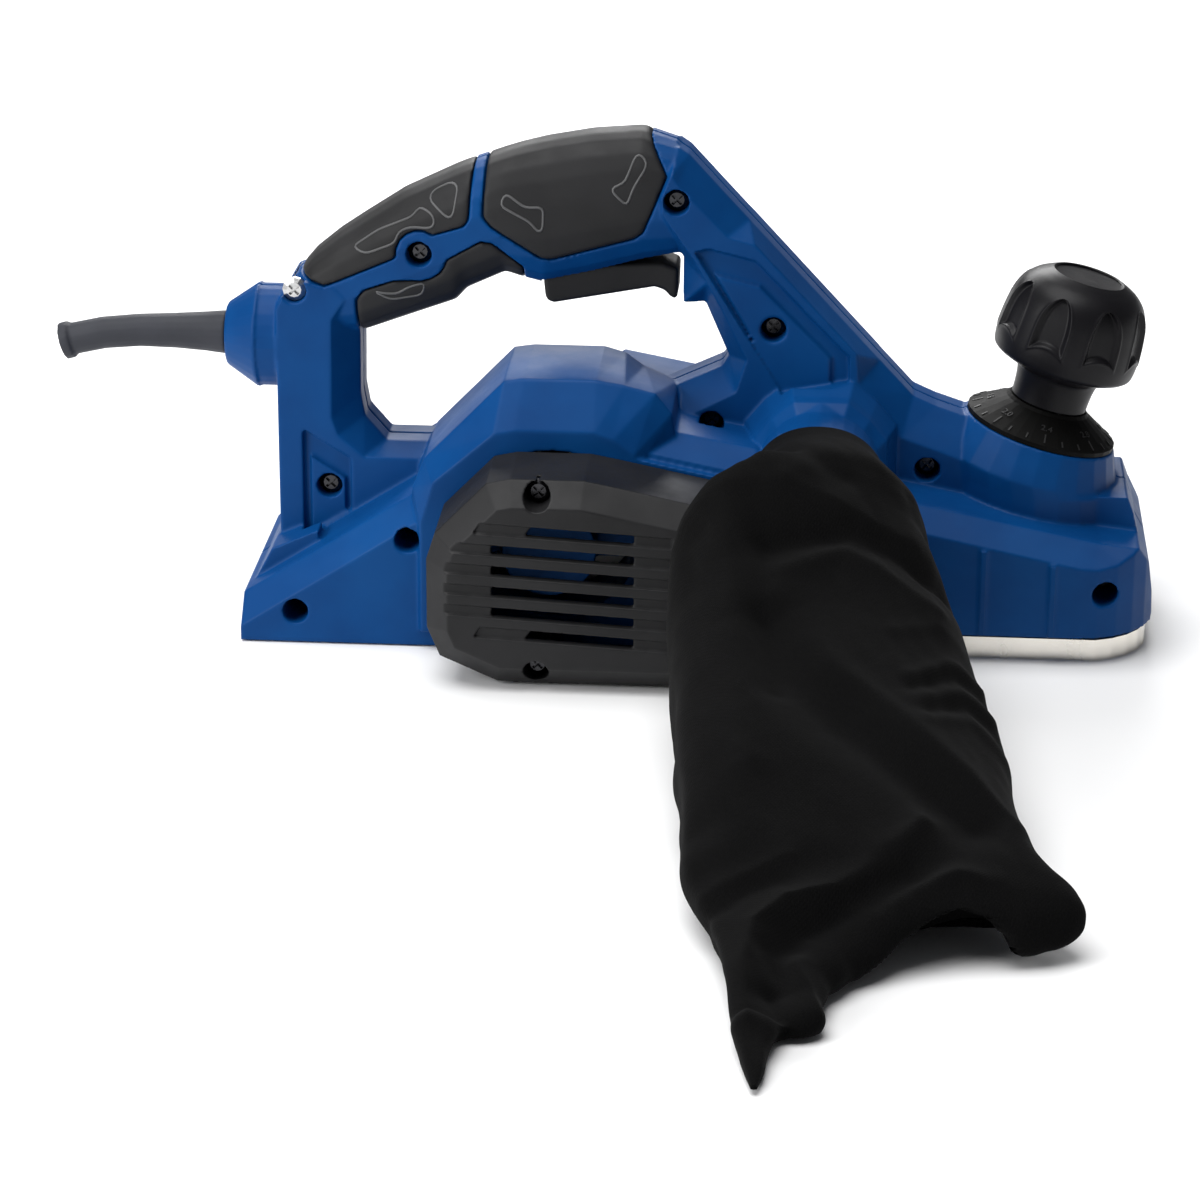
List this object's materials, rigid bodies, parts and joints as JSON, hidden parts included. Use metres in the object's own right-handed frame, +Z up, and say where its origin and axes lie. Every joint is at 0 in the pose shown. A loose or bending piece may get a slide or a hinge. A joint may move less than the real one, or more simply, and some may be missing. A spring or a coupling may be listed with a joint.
{
  "type": "electric hand planer",
  "caption": "Portable electric wood planer with a closed handle and trigger, a front depth knob, a vented motor cover and a soft dust bag lying at its side.",
  "frame": {"origin": "middle of the rear sole's lower face", "axes": "+X forwards to the depth knob, +Y to the user's left, +Z up from the sole"},
  "size_m": [0.3599, 0.411, 0.162],
  "materials": {
    "blue_nylon": "moulded, finely textured",
    "black_nylon": "moulded, finely textured",
    "black_rubber": "soft-touch, matt",
    "black_fabric": "woven polyester, matt",
    "machined_aluminium": "milled",
    "steel": "bright",
    "copper": "bright copper"
  },
  "bodies": {
    "base": {"belt_cover": "black_nylon", "brush_bottom": "black_nylon", "brush_top": "black_nylon", "cord_boot": "black_rubber", "depth_spring": "steel", "drive_belt": "black_rubber", "drum_bearing_left": "steel", "drum_bearing_right": "steel", "grip_lower": "black_rubber", "grip_main": "black_rubber", "grip_rear": "black_rubber", "housing_left": "blue_nylon", "housing_right": "blue_nylon", "motor_bearing_left": "steel", "motor_bearing_right": "steel", "motor_stator": "steel", "rear_sole": "machined_aluminium", "screw_base_mid": "steel", "screw_base_rear": "steel", "screw_belt_1": "steel", "screw_belt_2": "steel", "screw_belt_3": "steel", "screw_body_front": "steel", "screw_body_mid": "steel", "screw_grip": "steel", "screw_nose": "steel", "screw_post_low": "steel", "screw_post_top": "steel", "screw_sole_1": "steel", "screw_sole_2": "steel", "screw_sole_3": "steel", "screw_sole_4": "steel", "screw_strut_mid": "steel", "screw_strut_top": "steel", "screw_vent_1": "steel", "screw_vent_2": "steel", "switch_body": "black_nylon", "vent_cover": "black_nylon"},
    "drum": {"cutter_drum": "machined_aluminium", "blade_1": "steel", "blade_2": "steel", "clamp_bar_1": "steel", "clamp_bar_2": "steel", "drum_pulley": "black_nylon"},
    "rotor": {"motor_armature": "steel", "commutator": "copper", "cooling_fan": "black_nylon", "drive_pulley": "steel"},
    "knob": {"depth_knob": "black_rubber", "depth_dial": "black_nylon", "depth_spindle": "steel"},
    "shoe": {"front_shoe": "machined_aluminium"},
    "trigger": {"trigger": "black_nylon"},
    "lock_button": {"lock_button": "black_nylon"},
    "dust_bag": {"dust_bag": "black_fabric", "bag_collar": "black_nylon"}
  },
  "joints": [
    {"name": "rotor_spin", "type": "hinge", "parent": "base", "child": "rotor", "pos_m": [0.02, 0, 0.041], "axis": [0, 1, 0], "continuous": true},
    {"name": "drum_spin", "type": "hinge", "parent": "base", "child": "drum", "pos_m": [0.092, 0, 0.024], "axis": [0, 1, 0], "continuous": true},
    {"name": "knob_turn", "type": "hinge", "parent": "base", "child": "knob", "pos_m": [0.1749, 0, 0.0653], "axis": [0.2588, 0, 0.9659], "range_deg": [0, 300]},
    {"name": "shoe_lift", "type": "slide", "parent": "base", "child": "shoe", "axis": [0, 0, 1], "range_m": [0, 0.002], "deforming": ["depth_spring"]},
    {"name": "trigger_pull", "type": "hinge", "parent": "base", "child": "trigger", "pos_m": [0.018, 0, 0.1185], "axis": [0, -1, 0], "range_deg": [0, 6], "stiffness_Nm_per_rad": 0.4, "springref_deg": -8.59},
    {"name": "lock_press", "type": "slide", "parent": "base", "child": "lock_button", "axis": [0, -1, 0], "range_m": [0, 0.003], "stiffness_N_per_m": 150, "springref_m": -0.002},
    {"name": "bag_pull", "type": "slide", "parent": "base", "child": "dust_bag", "axis": [0, -1, 0], "range_m": [0, 0.045]}
  ],
  "couplings": [
    {"joint": "drum_spin", "follows": "rotor_spin", "ratio": 0.6},
    {"joint": "shoe_lift", "follows": "knob_turn", "m_per_rad": 0.00038197}
  ]
}
